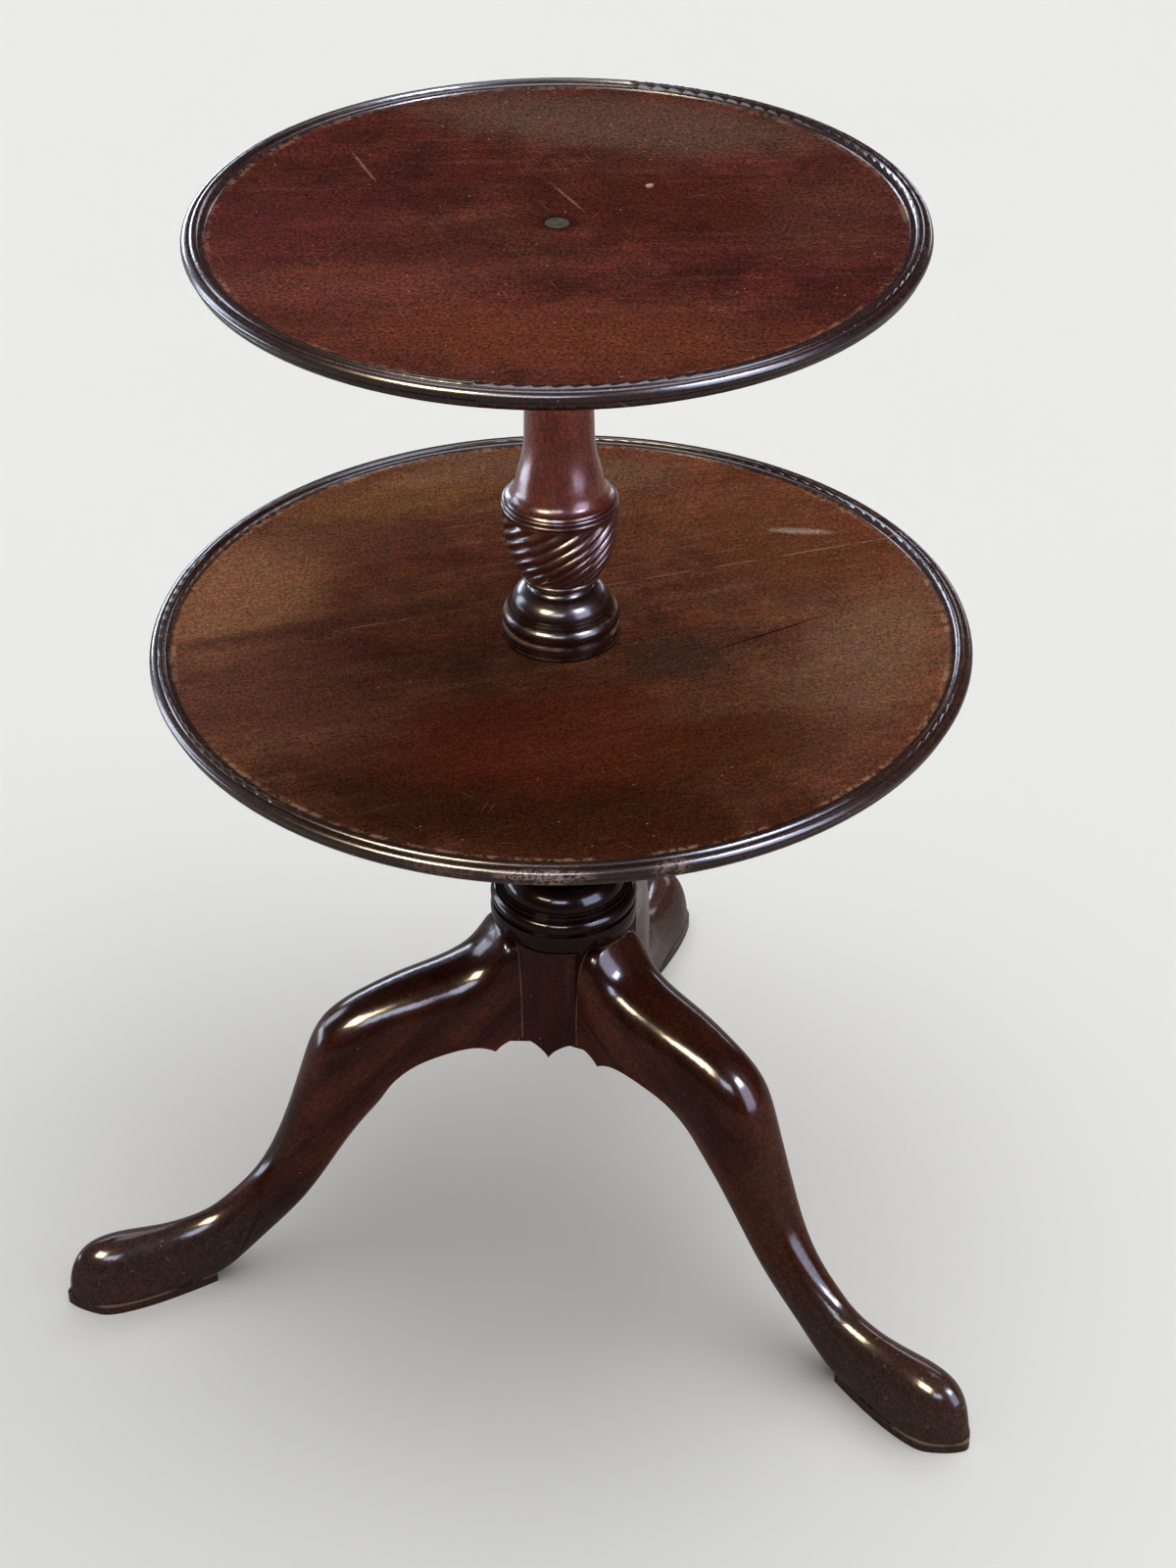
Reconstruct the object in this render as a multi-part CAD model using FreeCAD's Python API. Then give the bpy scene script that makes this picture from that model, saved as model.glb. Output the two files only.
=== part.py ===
import FreeCAD, Part
import math
import os

from FreeCAD import Vector

# Two-tier revolving tripod table in turned and carved mahogany.
# Millimetres, +Z up, origin on the column axis at floor level, rear leg on +Y.

# Tiers
lower_tier_radius = 300.0
upper_tier_radius = 252.0
lower_field_height = 555.5
tier_spacing = 323.8
lower_board_thickness = 11.5
upper_board_thickness = 11.5
rim_width = 16.0
rim_lip_height = 4.6
seam_offset = 52.5
seam_angle = 30.6
seam_gap = 0.2

# Bearing blocks screwed under the tiers
lower_boss_radius = 62.0
lower_boss_thickness = 22.0
upper_boss_radius = 52.0
upper_boss_thickness = 20.0
boss_chamfer = 4.0
boss_screw_count = 4
screw_shank_radius = 2.4
screw_head_radius = 4.6
screw_head_depth = 3.2
screw_slot_width = 1.3
screw_slot_depth = 1.2
screw_slot_turn = 70.0
screw_bite = 8.0

# Column joints and pivots
lower_journal_radius = 20.0
upper_journal_radius = 14.0
stem_tenon_radius = 15.0
stem_tenon_length = 34.0
pin_shank_radius = 4.0
pin_head_radius = 8.0
pin_head_thickness = 3.4
pin_depth = 44.0
turning_clearance = 0.3
glue_clearance = 0.1

# Hub that takes the three legs
hub_radius = 56.6
hub_bottom_height = 195.8
hub_height = 103.7
arch_rise = 14.0
arch_depth = 20.0

# Turned supports under the two tiers. The heights of their members are shares of the height
# between what carries the support and the shoulder under the tier's block.
lower_turning_radius = 57.2
upper_turning_radius = 43.0
lower_turning_shares = {"plinth": 0.0675, "torus": 0.0563, "fillets": 0.0203, "dome": 0.072, "neck": 0.0405,
                        "lip": 0.0225, "urn": 0.279, "ring": 0.0473, "flare": 0.278, "capital": 0.0495}
upper_turning_shares = {"plinth": 0.0367, "torus": 0.0408, "fillets": 0.0165, "dome": 0.0466, "neck": 0.0285,
                        "lip": 0.0137, "urn": 0.1841, "ring": 0.0298, "flare": 0.1592, "capital": 0.048}

# Flared foot of both shafts: radius as a share of the turning's, height as a share of the flare's
flare_shares = [(0.90, 0.0), (0.79, 0.093), (0.73, 0.296), (0.64, 0.63), (0.585, 1.0)]

# Spiral ribs of both urns
rib_count = 16
rib_depth_share = 0.058
rib_sweep = 130.0
rib_stations = 15

# Legs
leg_reach = 418.0
leg_width = 70.0
leg_top_gap = 1.5
leg_angles = {"leg_rear": 90.0, "leg_front_left": 210.0, "leg_front_right": 330.0}
pad_height = 8.5
pad_heel_reach = 299.0
pad_width = 54.0
pad_ledge = 1.0
foot_sink = 2.0
dovetail_depth = 17.0
dovetail_neck_width = 22.0
dovetail_tail_width = 31.0
dovetail_top_margin = 8.0

# Overrun by which cutting solids pass the faces they cut
overrun = 5.0

# Levels that follow from the sizes above
upper_field_height = lower_field_height + tier_spacing
hub_top = hub_bottom_height + hub_height
lower_board_bottom = lower_field_height - lower_board_thickness
upper_board_bottom = upper_field_height - upper_board_thickness
lower_shoulder = lower_board_bottom - lower_boss_thickness - turning_clearance
upper_shoulder = upper_board_bottom - upper_boss_thickness - turning_clearance
stem_bottom = lower_field_height + turning_clearance
hub_flat = math.sqrt(hub_radius ** 2 - (leg_width / 2) ** 2)


def point(radius, height):
    return Vector(radius, 0, height)


def polyline(points):
    return [Part.LineSegment(a, b).toShape() for a, b in zip(points, points[1:])]


def arc(start, middle, end):
    return Part.Arc(start, middle, end).toShape()


def smooth(points):
    curve = Part.BSplineCurve()
    curve.interpolate(points)
    return curve.toShape()


def turned(edges):
    """Solid of revolution about the column axis, from the edges of its half section."""
    wire = Part.Wire(edges)
    shape = Part.Face(wire).revolve(Vector(0, 0, 0), Vector(0, 0, 1), 360)
    return shape if shape.ShapeType == "Solid" else shape.Solids[0]


def rod(radius, bottom, top):
    return Part.makeCylinder(radius, top - bottom, point(0, bottom))


def rim_point(edge, field, inward_share, height_share):
    return point(edge - inward_share * rim_width, field + height_share * rim_lip_height)


def tier_board(edge, field, thickness, bore):
    """Dished board with its moulded rim: outer bead, groove, crest, cove and quirk."""
    def rim(inward_share, height_share):
        return rim_point(edge, field, inward_share, height_share)

    bottom = field - thickness
    under = point(edge - 0.38 * rim_width, bottom)
    lap = point(edge - 0.16 * rim_width, field - 0.5 * thickness)
    hollow = point(edge - 0.21 * rim_width, field - 0.82 * thickness)
    bead_start = point(edge - 0.125 * rim_width, field - 0.44 * thickness)
    edges = polyline([point(bore, field), point(bore, bottom), under])
    edges += [arc(under, hollow, lap)]
    edges += polyline([lap, bead_start])
    edges += [arc(bead_start, rim(0.0, -0.40), rim(0.355, 0.56))]
    edges += polyline([rim(0.355, 0.56), rim(0.375, 0.74)])
    edges += [arc(rim(0.375, 0.74), rim(0.49, 1.0), rim(0.61, 0.91))]
    edges += polyline([rim(0.61, 0.91), rim(0.635, 0.85)])
    edges += [arc(rim(0.635, 0.85), rim(0.74, 0.40), rim(0.89, 0.24))]
    edges += polyline([rim(0.89, 0.24), rim(0.96, 0.20), rim(1.0, 0.0), point(bore, field)])
    return turned(edges)


def boss(radius, thickness, bottom, bore):
    top = bottom + thickness
    return turned(polyline([
        point(bore, bottom), point(radius - boss_chamfer, bottom), point(radius, bottom + boss_chamfer),
        point(radius, top), point(bore, top), point(bore, bottom)]))


def screw(x, y, bottom, length, clearance):
    """Countersunk wood screw driven upwards, grown by the clearance when it cuts its hole."""
    head = Part.makeCone(screw_head_radius + clearance, screw_shank_radius + clearance,
                         screw_head_depth, Vector(x, y, bottom))
    shank = Part.makeCylinder(screw_shank_radius + clearance, length + clearance, Vector(x, y, bottom))
    return head.fuse(shank)


def screw_slot(x, y, bottom, turn):
    """Driver slot across the head of a screw."""
    length = 2 * screw_head_radius
    slot = Part.makeBox(length, screw_slot_width, screw_slot_depth,
                        Vector(x - length / 2, y - screw_slot_width / 2, bottom))
    slot.rotate(Vector(x, y, bottom), Vector(0, 0, 1), turn)
    return slot


def boss_screws(boss_radius, boss_bottom, boss_thickness, clearance):
    """Ring of screws up through a block into the board. A clearance gives their holes instead."""
    ring = 0.72 * boss_radius
    length = boss_thickness + screw_bite
    screws = []
    for i in range(boss_screw_count):
        turn = math.radians(45 + 360 * i / boss_screw_count)
        x = ring * math.cos(turn)
        y = ring * math.sin(turn)
        one_screw = screw(x, y, boss_bottom, length, clearance)
        if clearance == 0:
            one_screw = one_screw.cut(screw_slot(x, y, boss_bottom, screw_slot_turn * i))
        screws.append(one_screw)
    return Part.makeCompound(screws)


def urn_radius(radius, share):
    """Urn outline at a share of its height: it swells fast from the lip, then stands almost upright."""
    return radius * (0.674 + 0.307 * (1 - (1 - share) ** 2.6))


def ribbed_ring(radius, depth, height, turn):
    """Closed outline of rounded ribs side by side, each one an arc between two quirks."""
    step = 2 * math.pi / rib_count

    def at(angle, distance):
        return Vector(distance * math.cos(angle), distance * math.sin(angle), height)

    edges = []
    for i in range(rib_count):
        start = turn + i * step
        edges.append(arc(at(start, radius - depth), at(start + step / 2, radius),
                         at(start + step, radius - depth)))
    return Part.Wire(edges)


def wrythen_urn(radius, bottom, height):
    """Urn with spiral ribs that fade out under the ring and above the lip."""
    rings = []
    for i in range(rib_stations):
        share = i / (rib_stations - 1)
        fade = 1 - abs(2 * share - 1) ** 8
        turn = math.radians(rib_sweep) * share
        rings.append(ribbed_ring(urn_radius(radius, share), rib_depth_share * radius * fade,
                                 bottom + height * share, turn))
    return Part.makeLoft(rings, True, False)


def turned_foot(radius, bottom, heights):
    """Plinth, torus, two fillets, dome, hollow neck and the lip under the urn."""
    def at(radius_share, height):
        return point(radius_share * radius, bottom + height)

    plinth = heights["plinth"]
    fillets = heights["fillets"]
    torus_top = plinth + heights["torus"]
    fillet_top = torus_top + fillets
    dome_top = fillet_top + heights["dome"]
    neck_top = dome_top + heights["neck"]
    lip_top = neck_top + heights["lip"]
    quirk = 0.13 * plinth
    groove = 0.1 * heights["torus"]
    edges = polyline([at(0, lip_top), at(0, 0), at(0.95, 0), at(0.95, quirk), at(0.985, quirk)])
    edges += [arc(at(0.985, quirk), at(1.0, 0.55 * plinth), at(0.985, plinth))]
    edges += polyline([at(0.985, plinth), at(0.945, plinth), at(0.945, plinth + groove)])
    edges += [arc(at(0.945, plinth + groove), at(0.995, (plinth + torus_top) / 2), at(0.935, torus_top))]
    edges += polyline([at(0.935, torus_top), at(0.90, torus_top), at(0.90, torus_top + 0.5 * fillets),
                       at(0.86, torus_top + 0.5 * fillets), at(0.86, fillet_top), at(0.835, fillet_top)])
    edges += [arc(at(0.835, fillet_top), at(0.75, fillet_top + 0.68 * heights["dome"]), at(0.56, dome_top))]
    edges += [arc(at(0.56, dome_top), at(0.505, dome_top + 0.45 * heights["neck"]), at(0.56, neck_top))]
    edges += [arc(at(0.56, neck_top), at(0.665, (neck_top + lip_top) / 2), at(0.60, lip_top))]
    edges += polyline([at(0.60, lip_top), at(0, lip_top)])
    return turned(edges), bottom + lip_top


def turned_shaft(radius, bottom, shoulder, heights):
    """Double bead above the urn, the flared shaft and the small capital at its top."""
    def at(radius_share, height):
        return point(radius_share * radius, bottom + height)

    total = shoulder - bottom
    ring = heights["ring"]
    capital = heights["capital"]
    capital_bottom = total - capital
    bead = 0.42 * ring
    edges = polyline([at(0, 0), at(0.95, 0)])
    edges += [arc(at(0.95, 0), at(0.982, 0.5 * bead), at(0.95, bead))]
    edges += [arc(at(0.95, bead), at(0.968, 1.5 * bead), at(0.92, 2 * bead))]
    edges += polyline([at(0.92, 2 * bead), at(0.90, ring)])
    flare = [at(radius_share, ring + height_share * heights["flare"])
             for radius_share, height_share in flare_shares]
    edges += [smooth(flare)]
    edges += polyline([flare[-1], at(0.535, capital_bottom), at(0.62, capital_bottom)])
    edges += [arc(at(0.62, capital_bottom), at(0.65, capital_bottom + 0.15 * capital),
                  at(0.62, capital_bottom + 0.3 * capital))]
    edges += polyline([at(0.62, capital_bottom + 0.3 * capital), at(0.59, capital_bottom + 0.3 * capital)])
    edges += [arc(at(0.59, capital_bottom + 0.3 * capital), at(0.63, capital_bottom + 0.62 * capital),
                  at(0.75, capital_bottom + 0.8 * capital))]
    edges += polyline([at(0.75, capital_bottom + 0.8 * capital), at(0.77, total), at(0, total), at(0, 0)])
    return turned(edges)


def turned_support(radius, bottom, shoulder, shares):
    """Whole turned support: its foot, its ribbed urn and its shaft."""
    heights = {name: share * (shoulder - bottom) for name, share in shares.items()}
    foot, lip_top = turned_foot(radius, bottom, heights)
    urn = wrythen_urn(radius, lip_top, heights["urn"])
    shaft = turned_shaft(radius, lip_top + heights["urn"], shoulder, heights)
    return [foot, urn, shaft]


def hub_socket(angle):
    """Flat for a leg's shoulder and the dovetail socket in it, open at the bottom of the hub."""
    reach = hub_radius + overrun
    flat = Part.makeBox(reach - hub_flat, leg_width, hub_height + overrun,
                        Vector(hub_flat, -leg_width / 2, hub_bottom_height - overrun))
    tail = dovetail(glue_clearance, hub_bottom_height - overrun)
    cutter = flat.fuse(tail)
    cutter.rotate(Vector(0, 0, 0), Vector(0, 0, 1), angle)
    return cutter


def dovetail(clearance, bottom):
    """Dovetail prism on the inner side of a leg; a clearance makes the larger socket."""
    top = hub_top - dovetail_top_margin + clearance
    neck = dovetail_neck_width / 2 + clearance
    tail = dovetail_tail_width / 2 + clearance
    inner = hub_flat - dovetail_depth - clearance
    corners = [(hub_flat, -neck), (inner, -tail), (inner, tail), (hub_flat, neck), (hub_flat, -neck)]
    outline = Part.Wire(polyline([Vector(x, y, bottom) for x, y in corners]))
    return Part.Face(outline).extrude(Vector(0, 0, top - bottom))


def scallop(side):
    """Arch under the corner between the hub and one side of a leg."""
    half_width = leg_width / 2
    between_legs = math.radians(60)
    cusp_on_hub = Vector(hub_radius * math.cos(between_legs), side * hub_radius * math.sin(between_legs), 0)
    cusp_on_leg = Vector(hub_radius * 1.24, side * half_width, 0)
    chord = cusp_on_leg - cusp_on_hub
    outward = Vector(-chord.y, chord.x, 0) * side
    outward.normalize()
    half_chord = chord.Length / 2
    radius = (half_chord ** 2 + arch_rise ** 2) / (2 * arch_rise)
    start = (cusp_on_hub + cusp_on_leg) / 2 - outward * arch_depth
    start.z = hub_bottom_height + arch_rise - radius
    return Part.makeCylinder(radius, arch_depth + leg_width, start, outward)


def turned_copy(shape, angle):
    copy = shape.copy()
    copy.rotate(Vector(0, 0, 0), Vector(0, 0, 1), angle)
    return copy


# Leg sections from the hub to the toe. Each has the reach and height of its top line, the reach
# and height of its under line, its width, and how flat its underside, how straight its sides and
# how round its top are. Reach runs from the hub flat to the toe, height from the pad to the hub.
# Where the height of the under line and the width are left open, the section stands on the pad.
leg_section_shares = [
    (0.000, 1.000, 0.000, 0.620, 1.00, 1.00, 0.90, 1.00),
    (0.035, 0.990, 0.035, 0.640, 1.00, 1.00, 0.80, 1.00),
    (0.075, 0.935, 0.075, 0.675, 1.00, 1.00, 0.60, 1.00),
    (0.135, 0.903, 0.115, 0.690, 0.99, 1.00, 0.42, 1.00),
    (0.220, 0.878, 0.180, 0.676, 0.96, 0.95, 0.38, 1.00),
    (0.320, 0.840, 0.235, 0.640, 0.90, 0.85, 0.34, 1.00),
    (0.410, 0.768, 0.280, 0.585, 0.87, 0.74, 0.30, 1.00),
    (0.455, 0.642, 0.305, 0.526, 0.84, 0.62, 0.25, 1.00),
    (0.481, 0.540, 0.345, 0.455, 0.80, 0.52, 0.21, 1.00),
    (0.521, 0.408, 0.409, 0.330, 0.69, 0.42, 0.17, 1.00),
    (0.575, 0.297, 0.480, 0.202, 0.59, 0.40, 0.16, 0.95),
    (0.645, 0.220, 0.575, 0.090, 0.565, 0.45, 0.18, 0.85),
    (0.695, 0.188, 0.650, 0.022, 0.60, 0.60, 0.24, 0.72),
    (0.742, 0.175, 0.705, None, None, 0.66, 0.31, 0.66),
    (0.818, 0.169, 0.800, None, None, 0.91, 0.38, 0.68),
    (0.900, 0.167, 0.900, None, None, 1.00, 0.43, 0.72),
    (0.947, 0.150, 0.953, None, None, 1.00, 0.43, 0.74),
    (0.979, 0.108, 0.986, None, None, 1.00, 0.43, 0.76),
    (0.992, 0.055, 0.996, None, None, 1.00, 0.43, 0.80),
]

# Side of the pad from its heel to its toe: shares of its length and of its half width
pad_side_shares = [(0.0, 0.50), (0.11, 0.63), (0.26, 0.78), (0.43, 0.92), (0.62, 1.0), (0.74, 0.98),
                   (0.80, 0.91), (0.855, 0.76), (0.90, 0.60), (0.945, 0.41), (0.985, 0.18), (1.0, 0.06)]


def pad_half_width(reach):
    """Half the width of the pad at a reach: straight between the places of its side, even behind its heel."""
    place = max(0, (reach - pad_heel_reach) / (leg_reach - pad_heel_reach))
    for (start, narrow), (end, wide) in zip(pad_side_shares, pad_side_shares[1:]):
        if place <= end:
            break
    return (narrow + (wide - narrow) * (place - start) / (end - start)) * pad_width / 2


def leg_section(shares):
    """Closed outline across the leg: a flat underside and two curved sides that meet on top."""
    top_reach, top_height, under_reach, under_height, width, flat, side, crown = shares
    leg_top = hub_top - leg_top_gap

    def spot(reach_share, height_share):
        reach = hub_flat + reach_share * (leg_reach - pad_ledge - hub_flat)
        if height_share is None:
            return Vector(reach, 0, pad_height - foot_sink)
        return Vector(reach, 0, pad_height + height_share * (leg_top - pad_height))

    top = spot(top_reach, top_height)
    under = spot(under_reach, under_height)
    rise = top - under
    if width is None:
        half = (pad_half_width(under.x) - pad_ledge) / flat
    else:
        half = width * leg_width / 2
    bulge = half * (4 - flat) / 3

    def curved_side(sign):
        out = Vector(0, sign, 0)
        curve = Part.BezierCurve()
        curve.setPoles([under + out * (flat * half),
                        under + rise * side + out * bulge,
                        top - rise * (0.25 * (1 - crown)) + out * (bulge * (0.3 + 0.7 * crown)),
                        top])
        return curve.toShape()

    edge = Vector(0, flat * half, 0)
    bottom = Part.LineSegment(under - edge, under + edge).toShape()
    return Part.Wire([bottom, curved_side(1), curved_side(-1)])


def foot_pad():
    """Flat platform under the slipper foot: square heel, swelling sides and a blunt point."""
    span = leg_reach - pad_heel_reach
    sides = []
    for sign in (1, -1):
        sides.append([Vector(pad_heel_reach + along * span, sign * across * pad_width / 2, 0)
                      for along, across in pad_side_shares])
    edges = [smooth(sides[0]), Part.LineSegment(sides[0][-1], sides[1][-1]).toShape(),
             smooth(sides[1]), Part.LineSegment(sides[1][0], sides[0][0]).toShape()]
    outline = Part.Wire(edges)
    return Part.Face(outline).extrude(Vector(0, 0, pad_height))


def leg():
    """Cabriole leg along +X with its slipper foot, pad and dovetail."""
    body = Part.makeLoft([leg_section(row) for row in leg_section_shares], True, False)
    below = Part.makeBox(hub_radius * 1.3 + overrun, leg_width + 2 * overrun, hub_bottom_height,
                         Vector(0, -leg_width / 2 - overrun, 0))
    body = body.cut([below, scallop(1), scallop(-1)])
    return body.fuse([foot_pad(), dovetail(0, hub_bottom_height)])


def base_column():
    """Hub, lower turned support with its urn, journal for the lower tier and tenon for the stem."""
    hub = rod(hub_radius, hub_bottom_height, hub_top)
    cutters = []
    for angle in leg_angles.values():
        cutters.append(hub_socket(angle))
        cutters += [turned_copy(scallop(side), angle) for side in (1, -1)]
    hub = hub.cut(cutters)
    support = turned_support(lower_turning_radius, hub_top, lower_shoulder, lower_turning_shares)
    journal = rod(lower_journal_radius, lower_shoulder, stem_bottom)
    tenon = rod(stem_tenon_radius, stem_bottom, stem_bottom + stem_tenon_length)
    return hub.fuse(support + [journal, tenon])


def upper_stem():
    """Upper turned support with its urn, socket below and journal for the upper tier above."""
    foot, urn, shaft = turned_support(upper_turning_radius, stem_bottom, upper_shoulder,
                                      upper_turning_shares)
    journal = rod(upper_journal_radius, upper_shoulder, upper_board_bottom - turning_clearance)
    socket = rod(stem_tenon_radius + glue_clearance, stem_bottom - overrun,
                 stem_bottom + stem_tenon_length + glue_clearance)
    pin_hole = rod(pin_shank_radius + glue_clearance, upper_field_height - pin_depth - glue_clearance,
                   upper_field_height)
    return foot.fuse([urn, shaft, journal]).cut([socket, pin_hole])


def pivot_pin():
    head = rod(pin_head_radius, upper_field_height - pin_head_thickness, upper_field_height)
    return head.fuse(rod(pin_shank_radius, upper_field_height - pin_depth,
                         upper_field_height - pin_head_thickness))


def seam_half(side):
    """Block on one side of the glue seam in the lower tier."""
    size = 2 * lower_tier_radius + 2 * overrun
    start = seam_offset + seam_gap / 2 if side > 0 else seam_offset - seam_gap / 2 - size
    block = Part.makeBox(size, size, rim_lip_height + lower_board_thickness + 2 * overrun,
                         Vector(-size / 2, start, lower_board_bottom - overrun))
    block.rotate(Vector(0, 0, 0), Vector(0, 0, 1), seam_angle)
    return block


def build():
    parts = {}
    parts["base_column"] = base_column()
    one_leg = leg()
    for name, angle in leg_angles.items():
        parts[name] = turned_copy(one_leg, angle)
    parts["upper_stem"] = upper_stem()
    parts["pivot_pin"] = pivot_pin()

    lower_boss_bottom = lower_board_bottom - lower_boss_thickness
    upper_boss_bottom = upper_board_bottom - upper_boss_thickness
    lower_holes = boss_screws(lower_boss_radius, lower_boss_bottom, lower_boss_thickness, glue_clearance)
    upper_holes = boss_screws(upper_boss_radius, upper_boss_bottom, upper_boss_thickness, glue_clearance)

    lower_bore = lower_journal_radius + turning_clearance
    lower_board = tier_board(lower_tier_radius, lower_field_height, lower_board_thickness, lower_bore)
    parts["lower_tier_front_board"] = lower_board.common(seam_half(-1)).cut(lower_holes)
    parts["lower_tier_rear_board"] = lower_board.common(seam_half(1))
    parts["lower_tier_boss"] = boss(lower_boss_radius, lower_boss_thickness, lower_boss_bottom,
                                    lower_bore).cut(lower_holes)
    parts["lower_tier_screws"] = boss_screws(lower_boss_radius, lower_boss_bottom, lower_boss_thickness, 0)

    pin_bore = pin_shank_radius + turning_clearance
    head_seat = rod(pin_head_radius + turning_clearance,
                    upper_field_height - pin_head_thickness - turning_clearance,
                    upper_field_height + overrun)
    upper_board = tier_board(upper_tier_radius, upper_field_height, upper_board_thickness, pin_bore)
    parts["upper_tier_board"] = upper_board.cut([head_seat, upper_holes])
    parts["upper_tier_boss"] = boss(upper_boss_radius, upper_boss_thickness, upper_boss_bottom,
                                    upper_journal_radius + turning_clearance).cut(upper_holes)
    parts["upper_tier_screws"] = boss_screws(upper_boss_radius, upper_boss_bottom, upper_boss_thickness, 0)
    return parts


def single(shape):
    """A shape with one solid as that solid, and any other as it is."""
    return shape.Solids[0] if len(shape.Solids) == 1 else shape


os.makedirs("parts", exist_ok=True)
for name, shape in build().items():
    single(shape).exportStep("parts/" + name + ".step")
    print(name, len(shape.Solids), "solids", round(shape.Volume / 1000, 1), "cm3", shape.isValid())
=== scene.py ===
import math

import bpy
from mathutils import Matrix, Vector

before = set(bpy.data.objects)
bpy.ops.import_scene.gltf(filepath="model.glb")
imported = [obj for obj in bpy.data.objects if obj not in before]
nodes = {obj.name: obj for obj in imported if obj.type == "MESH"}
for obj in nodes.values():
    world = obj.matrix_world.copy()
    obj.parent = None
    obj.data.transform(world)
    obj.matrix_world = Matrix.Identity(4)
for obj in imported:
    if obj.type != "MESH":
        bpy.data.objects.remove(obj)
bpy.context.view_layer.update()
print("frame loaded:", len(nodes), "nodes")

# settings that many nodes share
softStep = {"interpolation_type": "SMOOTHSTEP"}
blend = {"data_type": "RGBA"}
multiply = {"data_type": "RGBA", "blend_type": "MULTIPLY"}
overlay = {"data_type": "RGBA", "blend_type": "OVERLAY"}


def linearColour(code):
    # sRGB hex to the linear values that a shader reads
    channels = [int(code[i:i + 2], 16) / 255 for i in (1, 3, 5)]
    return [c / 12.92 if c <= 0.04045 else ((c + 0.055) / 1.055) ** 2.4 for c in channels] + [1.0]


def addNode(tree, kind, inputs=(), **settings):
    # inputs: a list in the sockets' order, or a dictionary by name; a node given links its first output
    node = tree.nodes.new("ShaderNode" + kind)
    for name, value in settings.items():
        setattr(node, name, value)
    sockets = [socket for socket in node.inputs if socket.enabled]
    pairs = inputs.items() if isinstance(inputs, dict) else enumerate(inputs)
    for key, value in pairs:
        socket = sockets[key] if isinstance(key, int) else [s for s in sockets if s.name == key][0]
        if isinstance(value, bpy.types.Node):
            value = [s for s in value.outputs if s.enabled][0]
        if isinstance(value, bpy.types.NodeSocket):
            tree.links.new(value, socket)
        else:
            socket.default_value = linearColour(value) if isinstance(value, str) else value
    return node


def newMaterial(name):
    material = bpy.data.materials.new(name)
    material.use_nodes = True
    material.node_tree.nodes.clear()
    return material, material.node_tree


def grainSpace(tree, place, turn, lean):
    # the object's own coordinates, turned until X runs along the fibres
    level = addNode(tree, "Mapping", {"Vector": place, "Rotation": (0, 0, math.radians(-turn))})
    return addNode(tree, "Mapping", {"Vector": level, "Rotation": (0, math.radians(lean), 0)})


def grainNoise(tree, space, along, across, detail=2.0, shift=0.0):
    # noise drawn out along the fibres, feature lengths in millimetres
    size = (1000 / along, 1000 / across, 1000 / across)
    stretched = addNode(tree, "Mapping", {"Vector": space, "Location": (shift, shift, shift), "Scale": size})
    return addNode(tree, "TexNoise", {"Vector": stretched, "Scale": 1.0, "Detail": detail, "Roughness": 0.6})


def softPatch(tree, place, wobble, patch):
    # ragged oval on a tier: middle and half sizes in millimetres, long side turned in degrees
    x, y = patch["at"]
    longSide, shortSide = patch["half"]
    raggedness, softness = patch.get("ragged", 0.9), 0.5
    centred = addNode(tree, "Mapping", {"Vector": place, "Location": (-x / 1000, -y / 1000, 0)})
    turned = addNode(tree, "Mapping", {"Vector": centred, "Rotation": (0, 0, math.radians(-patch["turn"]))})
    sized = addNode(tree, "Mapping", {"Vector": turned, "Scale": (1000 / longSide, 1000 / shortSide, 0)})
    reach = addNode(tree, "VectorMath", [sized], operation="LENGTH")
    ragged = addNode(tree, "Math", [wobble, raggedness, reach], operation="MULTIPLY_ADD")
    edge = 1.0 + 0.5 * raggedness
    outer, inner = edge + softness, edge - softness
    return addNode(tree, "MapRange", [ragged, outer, inner, 0.0, patch["strength"]], **softStep)


def scratchLines(tree, place, turn, length, width, rarity, strength):
    # short hair lines in one direction; the width is about a pixel of the render, wider than the real ones
    turned = addNode(tree, "Mapping", {"Vector": place, "Rotation": (0, 0, math.radians(-turn))})
    sized = addNode(tree, "Mapping", {"Vector": turned, "Scale": (1000 / length, 1000 / width, 0),
                                      "Location": (turn, 0, 0)})
    dashes = addNode(tree, "TexNoise", {"Vector": sized, "Scale": 1.0, "Detail": 0.0}, noise_dimensions="2D")
    return addNode(tree, "MapRange", [dashes, rarity, rarity + 0.035, 0.0, strength], **softStep)


def brokenLine(tree, value, at, width, gaps, strength):
    # line where a length in metres passes one in millimetres, left out where the gaps value is low
    away = addNode(tree, "Math", [value, at / 1000], operation="SUBTRACT")
    away = addNode(tree, "Math", [away], operation="ABSOLUTE")
    outer, inner = 0.75 * width / 1000, 0.25 * width / 1000
    line = addNode(tree, "MapRange", [away, outer, inner, 0.0, strength], **softStep)
    kept = addNode(tree, "MapRange", [gaps, 0.42, 0.56, 0.0, 1.0], **softStep)
    return addNode(tree, "Math", [line, kept], operation="MULTIPLY")


def tinySpecks(tree, place, spacing, size, share):
    # dents and dust in some of the cells, spacing and size in millimetres
    cells = addNode(tree, "TexVoronoi", {"Vector": place, "Scale": 1000 / spacing})
    far, near = size / spacing, 0.4 * size / spacing
    dots = addNode(tree, "MapRange", [cells.outputs["Distance"], far, near, 0.0, 0.8], **softStep)
    picked = cells.outputs["Color"]
    chosen = addNode(tree, "MapRange", [picked, 1 - share, 1.02 - share, 0.0, 1.0], **softStep)
    return addNode(tree, "Math", [dots, chosen], operation="MULTIPLY")


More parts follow.
